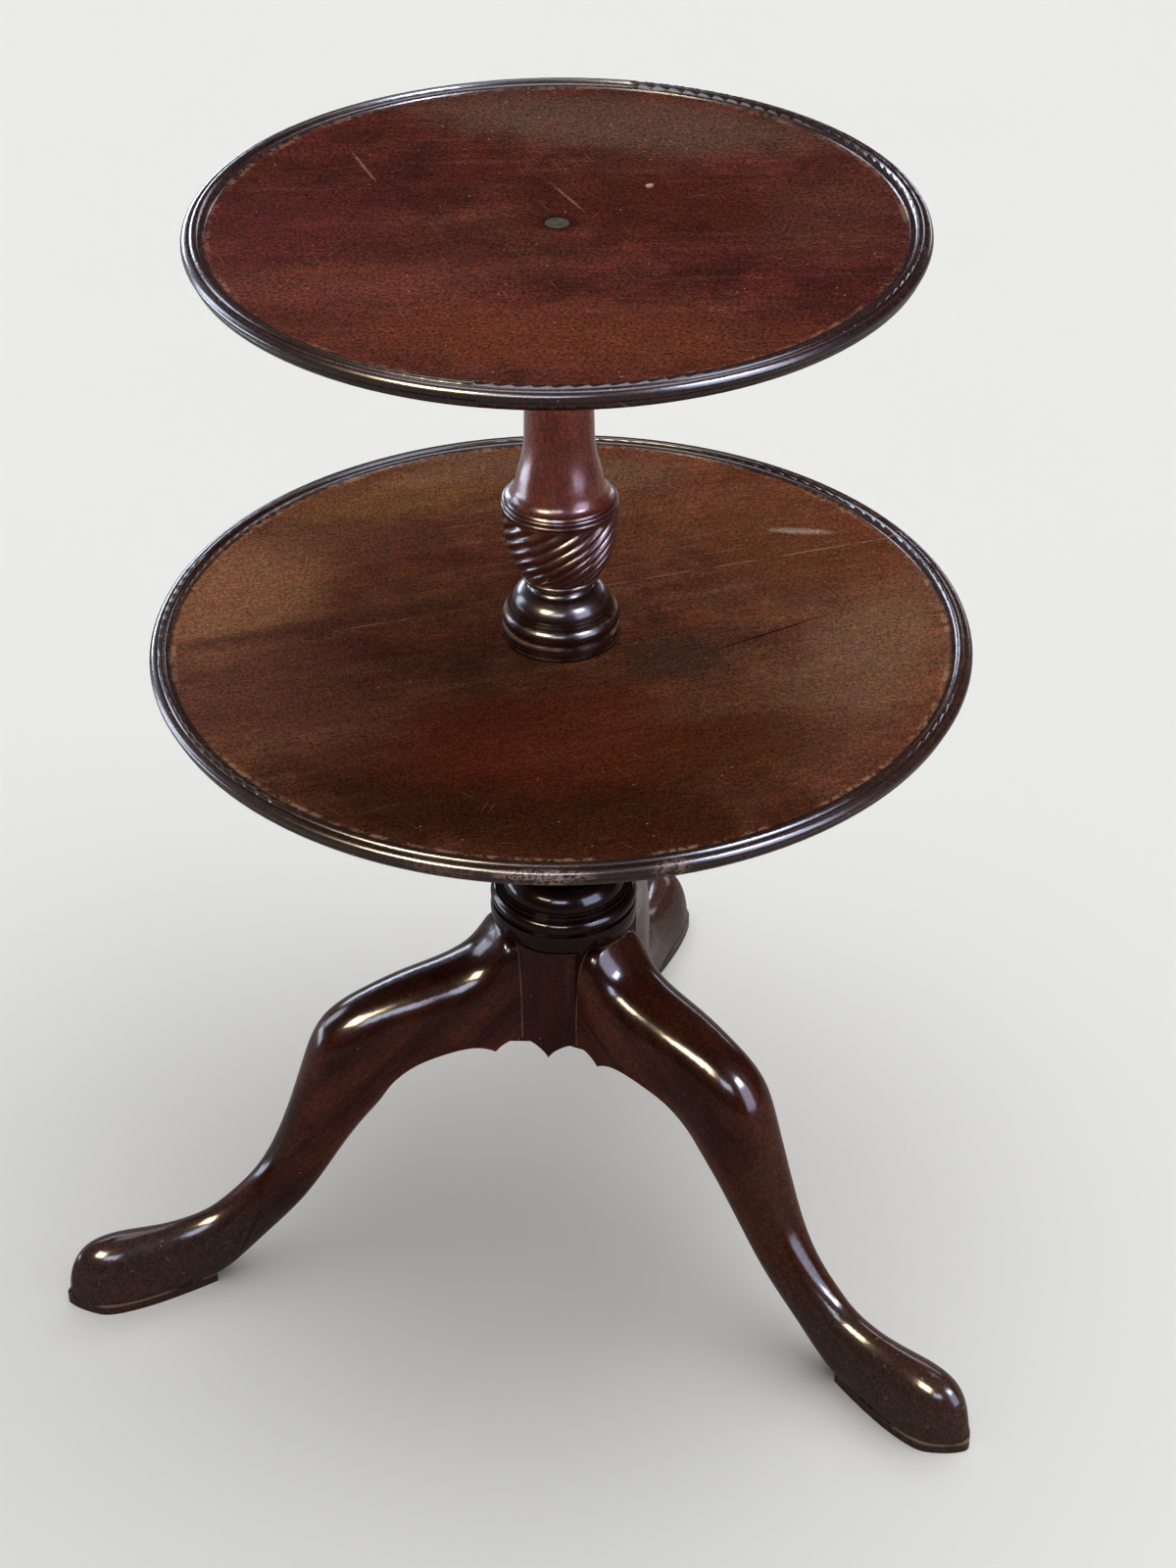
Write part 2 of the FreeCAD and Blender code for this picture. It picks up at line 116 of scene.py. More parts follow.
# Old mahogany under worn shellac polish, planed, turned and scraped by hand: deep red brown, soft ribbon
# figure, blotches, short dark pores, darker in the hollows, with reflections that waver a little.
def buildWood(look):
    material, tree = newMaterial(look["name"])
    place = addNode(tree, "TexCoord").outputs["Object"]
    space = grainSpace(tree, place, look.get("turn", 0), look.get("lean", 0))

    figure = grainNoise(tree, space, look.get("figureLong", 260), look.get("figureWide", 60), detail=4.0)
    streaks = grainNoise(tree, space, along=170, across=9, detail=3.0, shift=5.0)
    # fibres and pores are drawn wider than the real ones, which are finer than a pixel
    fibres = grainNoise(tree, space, along=12, across=2.2, detail=2.0, shift=9.0)
    pores = grainNoise(tree, space, along=9, across=1.3, detail=1.0, shift=3.0)
    # cloudy tints 110 and 230 mm across, blotches 37 mm, places touched by hands 60 mm
    clouds = addNode(tree, "TexNoise", {"Vector": place, "Scale": 9.0, "Detail": 5.0, "Roughness": 0.6})
    drift = addNode(tree, "TexNoise", {"Vector": place, "Scale": 4.3, "Detail": 3.0, "Roughness": 0.5})
    blotches = addNode(tree, "TexNoise", {"Vector": place, "Scale": 27.0, "Detail": 6.0, "Roughness": 0.72})
    handled = addNode(tree, "TexNoise", {"Vector": place, "Scale": 17.0, "Detail": 5.0, "Roughness": 0.65})

    figured = addNode(tree, "MapRange", [figure, 0.36, 0.64, 0.0, 1.0], **softStep)
    drifted = addNode(tree, "MapRange", [drift, 0.45, 0.62, 0.0, 0.6], **softStep)
    streaked = addNode(tree, "MapRange", [streaks, 0.48, 0.75, 0.0, look.get("streaks", 0.35)], **softStep)
    clouded = addNode(tree, "MapRange", [clouds, 0.60, 0.36, 0.0, 0.35], **softStep)
    colour = addNode(tree, "Mix", [figured, look["dark"], look["middle"]], **blend)
    colour = addNode(tree, "Mix", [drifted, colour, look["other"]], **blend)
    colour = addNode(tree, "Mix", [streaked, colour, look["light"]], **blend)
    colour = addNode(tree, "Mix", [clouded, colour, look["dark"]], **blend)
    uneven = look.get("uneven", 0.2)
    blotched = addNode(tree, "MapRange", [blotches, 0.3, 0.7, 1 - uneven, 1 + uneven])
    colour = addNode(tree, "Mix", [1.0, colour, blotched], **multiply)
    # redder and more golden places side by side
    colour = addNode(tree, "Mix", [look.get("mottled", 0.2), colour, blotches.outputs["Color"]], **overlay)

    # height in millimetres: hand-planed waves, fibres and open pores
    waves = addNode(tree, "TexNoise", {"Vector": place, "Scale": 34.0, "Detail": 1.0})
    closed = addNode(tree, "MapRange", [pores, 0.22, 0.34, 0.0, 1.0], **softStep)
    height = addNode(tree, "Math", [waves, look.get("waves", 0.16)], operation="MULTIPLY")
    height = addNode(tree, "Math", [fibres, 0.010, height], operation="MULTIPLY_ADD")
    height = addNode(tree, "Math", [closed, 0.014, height], operation="MULTIPLY_ADD")
    rough = addNode(tree, "MapRange", [handled, 0.3, 0.7, look["rough"] - 0.06, look["rough"] + 0.12])
    return {"look": look, "material": material, "tree": tree, "place": place, "colour": colour,
            "height": height, "rough": rough, "coat": look["coat"], "handled": handled, "streaks": streaks,
            "fibres": fibres, "pores": pores}


def fineGrain(wood):
    # fibres, pores and the grit of old polish, over everything that tints the wood
    tree, place, look, colour = wood["tree"], wood["place"], wood["look"], wood["colour"]
    # grit and grains are drawn 2 to 4 mm wide, coarser than the real ones, to show at all
    grit = addNode(tree, "TexNoise", {"Vector": place, "Scale": 430.0, "Detail": 1.0, "Roughness": 0.7})
    grains = addNode(tree, "TexNoise", {"Vector": place, "Scale": 260.0, "Detail": 3.0, "Roughness": 0.8})
    contrast = 0.42 * look.get("grit", 1.0)
    gritLevel = addNode(tree, "MapRange", [grit, 0.3, 0.7, 1 - contrast, 1 + contrast])
    fibreLevel = addNode(tree, "MapRange", [wood["fibres"], 0.3, 0.7, 0.80, 1.20])
    porous = addNode(tree, "MapRange", [wood["pores"], 0.34, 0.22, 0.0, look.get("porous", 0.6)], **softStep)
    colour = addNode(tree, "Mix", [1.0, colour, gritLevel], **multiply)
    colour = addNode(tree, "Mix", [1.0, colour, fibreLevel], **multiply)
    # red, brown and olive grains side by side
    colour = addNode(tree, "Mix", [look.get("speckle", 0.5), colour, grains.outputs["Color"]], **overlay)
    wood["colour"] = addNode(tree, "Mix", [porous, colour, look["pore"]], **blend)


def hollowShadeAndDust(wood, reach, strength):
    # painted shade in the quirks and where parts meet, darker the more enclosed the place, standing also for
    # old polish and dust there; reach in millimetres
    tree = wood["tree"]
    openness = addNode(tree, "AmbientOcclusion", {"Distance": reach / 1000}, samples=8).outputs["AO"]
    hollow = addNode(tree, "MapRange", [openness, 0.80, 0.35, 0.0, strength], **softStep)
    wood["colour"] = addNode(tree, "Mix", [hollow, wood["colour"], wood["look"]["pore"]], **blend)


def crestWearAndHighlight(wood, reach, strength):
    # crests painted lighter, partly rubbed by hands and cloths and partly a painted highlight along them;
    # reach in millimetres
    tree = wood["tree"]
    thickness = addNode(tree, "AmbientOcclusion", {"Distance": reach / 1000}, samples=8, inside=True)
    crest = addNode(tree, "MapRange", [thickness.outputs["AO"], 0.66, 0.26, 0.0, strength], **softStep)
    touched = addNode(tree, "MapRange", [wood["handled"], 0.38, 0.56, 0.0, 1.0], **softStep)
    paleMarks = addNode(tree, "Math", [crest, touched], operation="MULTIPLY")
    wood["colour"] = addNode(tree, "Mix", [paleMarks, wood["colour"], wood["look"]["worn"]], **blend)


def finishWood(wood):
    tree, look = wood["tree"], wood["look"]
    specks = tinySpecks(tree, wood["place"], spacing=11, size=0.9, share=look.get("specks", 0.42))
    colour = addNode(tree, "Mix", [specks, wood["colour"], look["worn"]], **blend)
    bump = addNode(tree, "Bump", {"Height": wood["height"], "Strength": 1.0, "Distance": 0.001})
    shader = addNode(tree, "BsdfPrincipled", {
        "Base Color": colour, "Roughness": wood["rough"], "Normal": bump, "Coat Normal": bump,
        "Specular IOR Level": look.get("sheen", 0.12), "Coat Weight": wood["coat"],
        "Coat Roughness": look.get("coatRough", 0.14), "Coat IOR": 1.5})
    addNode(tree, "OutputMaterial", {"Surface": shader})
    return wood["material"]


def addPatches(wood, wobble, patches):
    # sun-bleached, worn and stained places of the field, one of them also a painted reflection, and a darker
    # ring round the pin
    tree = wood["tree"]
    for patch in patches:
        area = softPatch(tree, wood["place"], wobble, patch)
        wood["colour"] = addNode(tree, "Mix", [area, wood["colour"], patch["colour"]], **blend)
        if "rough" in patch:
            wood["rough"] = addNode(tree, "Mix", [area, wood["rough"], patch["rough"]])


def addChips(wood, wobble, chips):
    # paler splintered wood where the rim has been knocked
    tree, place = wood["tree"], wood["place"]
    tornGrain = addNode(tree, "TexNoise", {"Vector": place, "Scale": 240.0, "Detail": 4.0, "Roughness": 0.75})
    splinters = addNode(tree, "MapRange", [tornGrain, 0.45, 0.55, 0.0, 1.0], **softStep)
    for chip in chips:
        area = softPatch(tree, place, wobble, chip)
        torn = addNode(tree, "Math", [area, splinters], operation="MULTIPLY")
        wood["colour"] = addNode(tree, "Mix", [torn, wood["colour"], chip["colour"]], **blend)


def addSeam(wood, seam):
    # dust and wax standing in the glue seam of the two boards
    tree = wood["tree"]
    turn = math.radians(-seam["turn"])
    turned = addNode(tree, "Mapping", {"Vector": wood["place"], "Rotation": (0, 0, turn)})
    across = addNode(tree, "SeparateXYZ", [turned]).outputs["Y"]
    paleLine = brokenLine(tree, across, seam["at"], seam["width"], wood["handled"], seam["strength"])
    wood["colour"] = addNode(tree, "Mix", [paleLine, wood["colour"], seam["colour"]], **blend)


# Mahogany boards turned to a dish and polished by hand: a worn, patchy field with a low gloss, and a
# moulded rim that kept its dark polish and shines in thin bright lines, chipped along its edge.
def buildTier(look):
    wood = buildWood(look)
    tree, place = wood["tree"], wood["place"]
    wobble = addNode(tree, "TexNoise", {"Vector": place, "Scale": 24.0, "Detail": 5.0, "Roughness": 0.65})
    addPatches(wood, wobble, look["patches"])
    flat = addNode(tree, "VectorMath", [place, (1, 1, 0)], operation="MULTIPLY")
    radius = addNode(tree, "VectorMath", [flat], operation="LENGTH")
    edge = look["fieldRadius"] / 1000
    onRim = addNode(tree, "MapRange", [radius, edge - 0.0008, edge + 0.001, 0.0, 1.0], **softStep)
    streaked = addNode(tree, "MapRange", [wood["streaks"], 0.35, 0.75, 0.0, 1.0], **softStep)
    rim = addNode(tree, "Mix", [streaked, look["rimDark"], look["rimLight"]], **blend)
    faded = addNode(tree, "Math", [onRim, 0.85], operation="MULTIPLY")
    wood["colour"] = addNode(tree, "Mix", [faded, wood["colour"], rim], **blend)
    wood["rough"] = addNode(tree, "Mix", [onRim, wood["rough"], look["rimRough"]])
    wood["coat"] = addNode(tree, "Mix", [onRim, look["coat"], look["rimCoat"]])
    fineGrain(wood)
    for turn, length, width, rarity, strength in look["scratches"]:
        lines = scratchLines(tree, place, turn, length, width, rarity, strength)
        wood["colour"] = addNode(tree, "Mix", [lines, wood["colour"], look["worn"]], **blend)
        wood["height"] = addNode(tree, "Math", [lines, -0.04, wood["height"]], operation="MULTIPLY_ADD")
    if "seam" in look:
        addSeam(wood, look["seam"])
    # flecks of pale wear where the field runs into the rim
    flecks = addNode(tree, "TexNoise", {"Vector": place, "Scale": 170.0, "Detail": 3.0, "Roughness": 0.7})
    flecked = addNode(tree, "MapRange", [flecks, 0.47, 0.56, 0.0, 1.0], **softStep)
    justInside, flakeWidth = look["fieldRadius"] - 1.2, 4.5
    paleMarks = brokenLine(tree, radius, justInside, flakeWidth, wobble, look["edgeWear"])
    paleMarks = addNode(tree, "Math", [paleMarks, flecked], operation="MULTIPLY")
    wood["colour"] = addNode(tree, "Mix", [paleMarks, wood["colour"], look["worn"]], **blend)
    hollowShadeAndDust(wood, reach=3.5, strength=0.75)
    # the rim's crests paled, partly wear and partly a painted highlight
    crestWearAndHighlight(wood, reach=1.6, strength=look["wear"])
    if "chips" in look:
        addChips(wood, wobble, look["chips"])
    return finishWood(wood)


lowerTier = {
    "name": "worn polished mahogany board, golden brown", "fieldRadius": 284, "turn": 30,
    "dark": "#623326", "middle": "#764630", "other": "#704731", "light": "#8b654a", "pore": "#281208",
    "worn": "#b89478", "rimDark": "#170a07", "rimLight": "#2c150d",
    # coat is the gloss of the polish, sheen the shine of the wood itself under it
    "rough": 0.30, "coat": 0.07, "coatRough": 0.24, "rimRough": 0.26, "rimCoat": 0.42, "sheen": 0.0,
    "streaks": 0.4, "waves": 0.1, "uneven": 0.32, "mottled": 0.25, "grit": 1.15, "speckle": 0.7,
    # wear sets how pale the rim's crests are painted, for wear and a painted highlight
    "porous": 0.4, "wear": 0.45, "edgeWear": 0.5,
    # direction in degrees, place and width in millimetres
    "seam": {"turn": 30.6, "at": 52.5, "width": 1.2, "strength": 0.75, "colour": "#b08c6e"},
    "patches": [
        {"at": (30, -222), "half": (190, 66), "turn": 5, "colour": "#341809", "strength": 0.85},
        {"at": (30, -130), "half": (120, 60), "turn": 20, "colour": "#6e2e18", "strength": 0.75},
        {"at": (-190, -110), "half": (80, 60), "turn": -40, "colour": "#6c4232", "strength": 0.7},
        {"at": (-240, 5), "half": (52, 90), "turn": -8, "colour": "#9a6848", "strength": 0.9, "rough": 0.37},
        {"at": (-205, 120), "half": (60, 70), "turn": -40, "colour": "#6b4431", "strength": 0.7},
        {"at": (-175, 160), "half": (75, 24), "turn": 30, "colour": "#7f5632",
         "strength": 0.75, "rough": 0.37},
        {"at": (-150, 205), "half": (45, 13), "turn": 30, "colour": "#8c6545",
         "strength": 0.65, "rough": 0.37},
        {"at": (-70, 235), "half": (110, 34), "turn": 5, "colour": "#76543f",
         "strength": 0.75, "rough": 0.37},
        {"at": (220, 15), "half": (46, 120), "turn": -8, "colour": "#7e5a44",
         "strength": 0.85, "rough": 0.37},
        {"at": (150, 170), "half": (100, 60), "turn": -30, "colour": "#6b3f26",
         "strength": 0.65, "rough": 0.36},
        {"at": (160, -115), "half": (80, 45), "turn": 30, "colour": "#4c2812", "strength": 0.7},
        {"at": (150, -58), "half": (90, 16), "turn": 30, "colour": "#6e4b32", "strength": 0.55},
        {"at": (-165, -25), "half": (130, 10), "turn": 30, "colour": "#5d3629", "strength": 0.8},
        {"at": (90, -14), "half": (38, 32), "turn": 20, "colour": "#513a2e", "strength": 0.8},
        {"at": (150, 33), "half": (52, 1.1), "turn": 43, "colour": "#1d0d08", "strength": 0.8, "ragged": 0.5},
        {"at": (146, 183), "half": (20, 4), "turn": 8, "colour": "#a58e80", "strength": 0.75, "rough": 0.45},
    ],
    # direction in degrees, length and width in millimetres, rarity and strength
    "scratches": [(-28, 60, 1.1, 0.94, 0.3), (38, 80, 1.0, 0.93, 0.3), (84, 50, 1.0, 0.94, 0.3),
                  (10, 40, 1.2, 0.94, 0.3)],
    "chips": [
        {"at": (60, -296), "half": (34, 5), "turn": 11, "colour": "#a78a80", "strength": 0.9},
        {"at": (140, -267), "half": (12, 6), "turn": 28, "colour": "#8f7066", "strength": 0.8},
        {"at": (-10, -300), "half": (26, 4), "turn": -3, "colour": "#75564a", "strength": 0.6},
    ],
}
upperTier = {
    "name": "scratched polished mahogany board, red brown", "fieldRadius": 236, "turn": 14,
    "dark": "#441e19", "middle": "#53261f", "other": "#543024", "light": "#70453b", "pore": "#200c08",
    "worn": "#b8947c", "rimDark": "#180b09", "rimLight": "#2b1510",
    "rough": 0.29, "coat": 0.07, "coatRough": 0.24, "rimRough": 0.26, "rimCoat": 0.42, "sheen": 0.0,
    "streaks": 0.25, "waves": 0.1, "uneven": 0.42, "mottled": 0.35, "grit": 1.4, "speckle": 0.85,
    "porous": 0.35, "wear": 0.45, "edgeWear": 0.25,
    "patches": [
        {"at": (-165, -50), "half": (70, 60), "turn": 30, "colour": "#532422", "strength": 0.6},
        {"at": (-110, -115), "half": (110, 30), "turn": 20, "colour": "#68372b", "strength": 0.7},
        {"at": (-70, -50), "half": (60, 36), "turn": 30, "colour": "#3f1c19", "strength": 0.5},
        {"at": (60, 40), "half": (85, 60), "turn": 10, "colour": "#451c13", "strength": 0.5},
        {"at": (40, -165), "half": (140, 45), "turn": 8, "colour": "#643321", "strength": 0.75},
        # a dull greyer place at the back: wear, with a painted reflection of the light behind in its colour
        {"at": (0, 175), "half": (130, 45), "turn": 0, "colour": "#5a433a", "strength": 0.75, "rough": 0.36},
        {"at": (185, 60), "half": (45, 80), "turn": -10, "colour": "#513027", "strength": 0.5, "rough": 0.36},
        {"at": (-153, 61), "half": (26, 1.1), "turn": -56, "colour": "#8d6450",
         "strength": 0.7, "ragged": 0.6},
        {"at": (-2, 41), "half": (24, 1.0), "turn": -51, "colour": "#8d6450", "strength": 0.6, "ragged": 0.6},
        {"at": (48, 73), "half": (2.4, 3.4), "turn": 0, "colour": "#b39374", "strength": 0.9, "ragged": 0.2},
        # a darker ring round the pin
        {"at": (0, 0), "half": (13, 13), "turn": 0, "colour": "#1a0e0c", "strength": 0.8, "ragged": 0.4},
    ],
    "scratches": [(-56, 60, 1.0, 0.94, 0.3), (32, 70, 1.0, 0.93, 0.3), (75, 45, 1.1, 0.94, 0.3),
                  (5, 50, 1.0, 0.94, 0.25)],
}
column = {
    "name": "dark polished turned mahogany", "lean": 90, "figureLong": 200, "figureWide": 30,
    "dark": "#2a0f07", "middle": "#44180c", "other": "#431d0f", "light": "#5c2f1e", "pore": "#110604",
    "worn": "#a07a60", "rough": 0.30, "coat": 0.17, "sheen": 0.01,
    # reach of the painted shade in the hollows and of the paled crests, in millimetres, and how much the
    # crests are paled by wear and painted highlight
    "hollows": 6, "crests": 4, "crestWearAndGleam": 0.5,
    # heights in millimetres between which old polish has coloured it, the colour and how much of it
    "bands": [(299, 540, "#1c0906", 0.8)],
}
stem = {
    "name": "red brown polished turned mahogany", "lean": 90, "figureLong": 200, "figureWide": 26,
    "dark": "#86362a", "middle": "#ae563e", "other": "#99462f", "light": "#c47a60", "pore": "#1c0906",
    "worn": "#c9a58c", "rough": 0.30, "coat": 0.2, "coatRough": 0.19, "sheen": 0.05,
    "hollows": 6, "crests": 5, "crestWearAndGleam": 0.8,
    "bands": [(540, 608.5, "#1d0f0b", 0.88), (608.5, 671.5, "#3a1912", 0.7)],
    # heights in millimetres of the arrises painted pale, for rubbing by hands and cloths and for a painted
    # highlight along each edge
    "arrises": [557.9, 566.0, 578.0, 608.4],
}
leg = {
    # lean is the slope of the fibres, in degrees, from the level
    "name": "polished carved mahogany leg", "lean": -42, "figureLong": 240, "figureWide": 34,
    "dark": "#2f110a", "middle": "#57271a", "other": "#4a2716", "light": "#66361f", "pore": "#150704",
    # dust is the colour of the pale joint lines, which stand for dust and a painted highlight
    "worn": "#a3795e", "dust": "#8f7b6a", "footGrimeAndSheen": "#40302a", "rough": 0.28, "coat": 0.16, "sheen": 0.01,
    "hollows": 6, "crests": 2.2, "crestWearAndGleam": 0.5, "specks": 0.3,
    "turns": {"leg_rear": 90, "leg_front_left": 210, "leg_front_right": 330},
    # distance from the column's axis and heights of the joints drawn with pale lines of dust and painted
    # highlight, in millimetres
    "shoulder": 45.2, "top": 297.6, "padTop": 8.1,
    # the repaired leg, the way that its glue line faces, outwards and upwards, and how far out it lies
    "mended": "leg_front_left", "glueFacing": (0.894, 0, 0.447), "glueLine": 263.4,
}
block = {
    "name": "unpolished mahogany block", "turn": 20,
    "dark": "#2a160c", "middle": "#432716", "other": "#3b230f", "light": "#5e3b28", "pore": "#160b06",
    "worn": "#7a5642", "rough": 0.62, "coat": 0.0, "sheen": 0.25,
}


# Mahogany turned on a lathe and polished: mouldings and urns nearly black with old polish, sharp gleams
# along their crests, and a redder shaft and hub.
def buildTurned(look):
    wood = buildWood(look)
    tree = wood["tree"]
    upright = addNode(tree, "SeparateXYZ", [wood["place"]]).outputs["Z"]
    for bottom, top, colour, strength in look["bands"]:
        bottom, top = bottom / 1000, top / 1000
        above = addNode(tree, "MapRange", [upright, bottom - 0.0006, bottom + 0.0006, 0.0, strength])
        below = addNode(tree, "MapRange", [upright, top + 0.0008, top - 0.0008, 0.0, 1.0])
        darkened = addNode(tree, "Math", [above, below], operation="MULTIPLY")
        wood["colour"] = addNode(tree, "Mix", [darkened, wood["colour"], colour], **blend)
    fineGrain(wood)
    hollowShadeAndDust(wood, look["hollows"], strength=0.8)
    crestWearAndHighlight(wood, look["crests"], look["crestWearAndGleam"])
    for height in look.get("arrises", []):
        # pale line round each arris: wear, and a painted highlight on its edge
        pale = brokenLine(tree, upright, height, width=1.5, gaps=wood["handled"], strength=0.7)
        wood["colour"] = addNode(tree, "Mix", [pale, wood["colour"], look["worn"]], **blend)
    return finishWood(wood)


def addDustAndGleamLine(wood, value, at, width):
    # pale line along a joint: wax and dust, and a painted highlight on the joint's edge
    tree = wood["tree"]
    paleLine = brokenLine(tree, value, at, width, wood["handled"], strength=0.6)
    wood["colour"] = addNode(tree, "Mix", [paleLine, wood["colour"], wood["look"]["dust"]], **blend)


# Mahogany legs sawn, carved and scraped, then polished: long gleams on the knee and shin, and a foot that
# shoe polish, dust and knocks have made nearly black, its greyer colour also a painted sheen.
def buildLeg(look, name):
    turn = look["turns"][name]
    wood = buildWood(dict(look, turn=turn))
    tree, place = wood["tree"], wood["place"]
    # the lowest 10 cm or so: dirty and nicked by brooms and shoes, in a greyer colour that is also a painted
    # sheen
    upright = addNode(tree, "SeparateXYZ", [place]).outputs["Z"]
    ragged = addNode(tree, "Math", [wood["handled"], 0.05, upright], operation="MULTIPLY_ADD")
    low = addNode(tree, "MapRange", [ragged, 0.13, 0.06, 0.0, 0.8], **softStep)
    wood["colour"] = addNode(tree, "Mix", [low, wood["colour"], look["footGrimeAndSheen"]], **blend)
    fineGrain(wood)
    hollowShadeAndDust(wood, look["hollows"], strength=0.6)
    crestWearAndHighlight(wood, look["crests"], look["crestWearAndGleam"])
    dents = addNode(tree, "TexNoise", {"Vector": place, "Scale": 150.0, "Detail": 3.0, "Roughness": 0.7})
    dented = addNode(tree, "MapRange", [dents, 0.66, 0.72, 0.0, 0.7], **softStep)
    nicks = addNode(tree, "Math", [dented, low], operation="MULTIPLY")
    wood["colour"] = addNode(tree, "Mix", [nicks, wood["colour"], look["worn"]], **blend)
    wood["height"] = addNode(tree, "Math", [nicks, -0.15, wood["height"]], operation="MULTIPLY_ADD")
    wood["rough"] = addNode(tree, "Math", [low, 0.04, wood["rough"]], operation="MULTIPLY_ADD")
    outward = addNode(tree, "Mapping", {"Vector": place, "Rotation": (0, 0, math.radians(-turn))})
    reach = addNode(tree, "SeparateXYZ", [outward]).outputs["X"]
    addDustAndGleamLine(wood, reach, look["shoulder"], width=1.2)
    addDustAndGleamLine(wood, upright, look["top"], width=1.2)
    addDustAndGleamLine(wood, upright, look["padTop"], width=1.5)
    if name == look["mended"]:
        # thin dark glue line of an old repair across the ankle
        along = addNode(tree, "VectorMath", [outward, look["glueFacing"]], operation="DOT_PRODUCT")
        onAnkle = addNode(tree, "MapRange", [upright, 0.080, 0.060, 0.0, 1.0], **softStep)
        glueLine = brokenLine(tree, along, look["glueLine"], width=1.4, gaps=onAnkle, strength=0.85)
        wood["colour"] = addNode(tree, "Mix", [glueLine, wood["colour"], look["pore"]], **blend)
    return finishWood(wood)


# Bare sawn mahogany, never polished: dull, brown and evenly soiled, with no gleam.
def buildBlock(look):
    wood = buildWood(look)
    fineGrain(wood)
    hollowShadeAndDust(wood, reach=5, strength=0.5)
    return finishWood(wood)


# the pin's end is under old wax and rust, so little of it is bare metal
pin = {"name": "worn pivot iron", "base": "#40392c", "pit": "#17130f", "bright": "#8c7f64",
       "rough": 0.3, "metal": 0.3, "sheen": 0.15}
screw = {"name": "dull hand-cut screw iron", "base": "#57514b", "pit": "#211b18", "bright": "#8f877b",
         "rough": 0.46, "metal": 0.85, "sheen": 0.5}


# Forged and filed iron: grey, pitted dark, rubbed bright along its edges.
def buildIron(look):
    material, tree = newMaterial(look["name"])
    place = addNode(tree, "TexCoord").outputs["Object"]
    pits = addNode(tree, "TexNoise", {"Vector": place, "Scale": 420.0, "Detail": 4.0, "Roughness": 0.7})
    files = grainNoise(tree, grainSpace(tree, place, turn=35, lean=0), along=5, across=0.5)
    thickness = addNode(tree, "AmbientOcclusion", {"Distance": 0.0014}, samples=8, inside=True).outputs["AO"]
    clean = addNode(tree, "MapRange", [pits, 0.42, 0.6, 0.0, 1.0], **softStep)
    filed = addNode(tree, "MapRange", [files, 0.5, 0.7, 0.0, 0.4], **softStep)
    edge = addNode(tree, "MapRange", [thickness, 0.6, 0.25, 0.0, 0.85], **softStep)
    colour = addNode(tree, "Mix", [clean, look["pit"], look["base"]], **blend)
    colour = addNode(tree, "Mix", [filed, colour, look["bright"]], **blend)
    colour = addNode(tree, "Mix", [edge, colour, look["bright"]], **blend)
    bump = addNode(tree, "Bump", {"Height": pits, "Strength": 0.6, "Distance": 0.0004})
    rough = addNode(tree, "MapRange", [pits, 0.3, 0.7, look["rough"] + 0.15, look["rough"] - 0.05])
    shader = addNode(tree, "BsdfPrincipled", {"Base Color": colour, "Roughness": rough, "Normal": bump,
                                              "Metallic": look["metal"], "Specular IOR Level": look["sheen"]})
    addNode(tree, "OutputMaterial", {"Surface": shader})
    return material


lowerWood, upperWood = buildTier(lowerTier), buildTier(upperTier)
blockWood, screwIron = buildBlock(block), buildIron(screw)
finishes = {"base_column": buildTurned(column), "upper_stem": buildTurned(stem), "pivot_pin": buildIron(pin),
            "lower_tier_front_board": lowerWood, "lower_tier_rear_board": lowerWood,
            "upper_tier_board": upperWood,
            "lower_tier_boss": blockWood, "upper_tier_boss": blockWood,
            "lower_tier_screws": screwIron, "upper_tier_screws": screwIron}
for name in leg["turns"]:
    finishes[name] = buildLeg(leg, name)
for name, material in finishes.items():
    for slot in nodes[name].material_slots:
        slot.material = material
print("materials on", len(finishes), "nodes")


studio = {
    "floorColour": "#ececea", "floorTint": "#eaebe9", "worldLevel": 0.06, "cameraBearing": 283.7,
    # broad soft lights, not seen as reflections: degrees right of the camera and up, width, strength
    "softLights": {
        "high rear light": (135, 75, 80, 2.5),
        "left fill": (-60, 50, 60, 0.28),
        "right fill": (65, 50, 60, 0.42),
    },
    # lamps seen only as reflections: degrees right of the camera and up, metres away, width, height,
    # brightness, colour
    "lamps": {
        "warm lamp": (-40, 42, 2.6, 0.9, 0.8, 300, "#ffe9c4"),
        "front window": (-8, 33, 3.0, 1.1, 0.7, 70, "#dbe6ff"),
        "cool window": (52, 20, 3.0, 1.7, 2.2, 36, "#cfdcff"),
        "window pane": (52, 44, 3.0, 0.8, 0.7, 300, "#dfe8ff"),
        "skylight": (175, 70, 2.6, 1.6, 1.3, 15, "#eef2ff"),
        "left window": (-118, 18, 3.2, 0.9, 1.5, 34, "#dde9ff"),
        "low left window": (-108, -6, 2.4, 1.4, 0.4, 40, "#dde9ff"),
        "rear left window": (-152, 15, 3.2, 1.4, 0.5, 60, "#dde9ff"),
        "rear right window": (152, 11, 3.4, 1.2, 0.35, 18, "#e8eeff"),
    },
}


def towards(right, height):
    # direction from the object, by degrees to the right of the camera and degrees up
    bearing, rise = math.radians(studio["cameraBearing"] + right), math.radians(height)
    level = math.cos(rise)
    return Vector((level * math.cos(bearing), level * math.sin(bearing), math.sin(rise)))


def addLight(name, kind, direction, distance):
    lamp = bpy.data.objects.new(name, bpy.data.lights.new(name, kind))
    lamp.location = Vector((0, 0, 0.5)) + direction * distance  # measured from half-way up the table
    lamp.rotation_euler = (-direction).to_track_quat("-Z", "Y").to_euler()
    bpy.context.collection.objects.link(lamp)
    return lamp


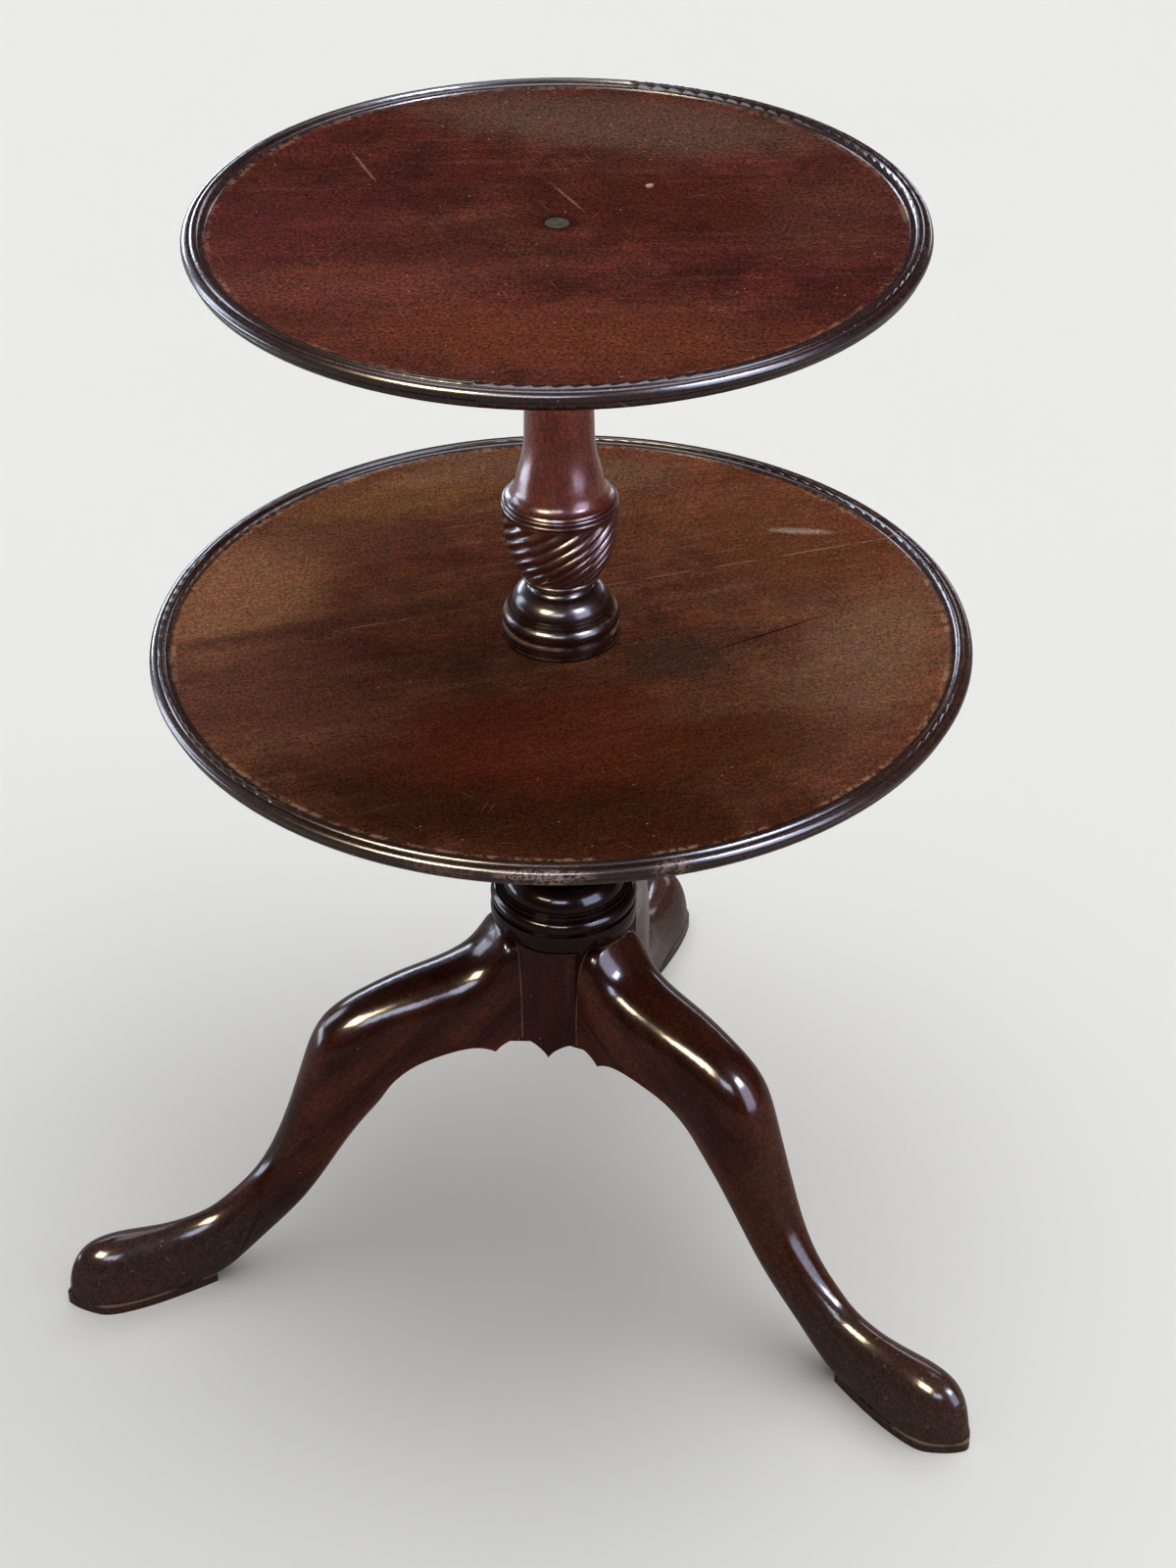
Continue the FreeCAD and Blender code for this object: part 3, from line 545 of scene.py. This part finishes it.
def addLights(look):
    for name, (right, height, width, strength) in look["softLights"].items():
        lamp = addLight(name, "SUN", towards(right, height), 4)
        lamp.data.energy = strength
        lamp.data.angle = math.radians(width)
        lamp.visible_glossy = False
    for name, (right, height, distance, width, tall, brightness, colour) in look["lamps"].items():
        lamp = addLight(name, "AREA", towards(right, height), distance)
        lamp.data.shape = "RECTANGLE"
        lamp.data.size, lamp.data.size_y = width, tall
        lamp.data.energy = brightness * math.pi * width * tall
        lamp.data.color = linearColour(colour)[:3]
        lamp.visible_diffuse = False


# Wide sheet of unprinted matt paper: nearly white, no gleam, and it keeps the table's soft shadow.
def addFloor(look):
    material, tree = newMaterial("matt paper floor")
    place = addNode(tree, "TexCoord").outputs["Object"]
    tone = addNode(tree, "TexNoise", {"Vector": place, "Scale": 2.0, "Detail": 2.0})
    colour = addNode(tree, "Mix", [tone, look["floorColour"], look["floorTint"]], **blend)
    matt = {"Base Color": colour, "Roughness": 1.0, "Specular IOR Level": 0.0}
    shader = addNode(tree, "BsdfPrincipled", matt)
    addNode(tree, "OutputMaterial", {"Surface": shader})
    bpy.ops.object.select_all(action="DESELECT")
    bpy.ops.mesh.primitive_plane_add(size=30, location=(0, 0, 0))
    floor = bpy.context.active_object
    floor.name = "floor"
    floor.data.materials.append(material)


def addWorld(look):
    world = bpy.data.worlds.new("studio")
    bpy.context.scene.world = world
    world.use_nodes = True
    world.node_tree.nodes.clear()
    background = addNode(world.node_tree, "Background", ["#ffffff", look["worldLevel"]])
    addNode(world.node_tree, "OutputWorld", {"Surface": background})


addFloor(studio)
addWorld(studio)
addLights(studio)
print("floor, world and lights")

# where the photograph was taken from, found from both tier rims and the feet
view = {"place": (0.445764, -1.834582, 1.737015), "right": (0.974608, 0.223890, -0.003446),
        "up": (-0.125380, 0.558408, 0.820037), "back": (0.185522, -0.798783, 0.572300), "lens": 69.69}
cameraData = bpy.data.cameras.new("camera")
cameraData.sensor_width = 36
cameraData.lens = view["lens"]
camera = bpy.data.objects.new("camera", cameraData)
axes = Matrix((view["right"], view["up"], view["back"])).transposed().to_4x4()
camera.matrix_world = Matrix.Translation(view["place"]) @ axes
bpy.context.collection.objects.link(camera)
bpy.context.scene.camera = camera
bpy.context.scene.view_settings.view_transform = "Standard"
print("camera")
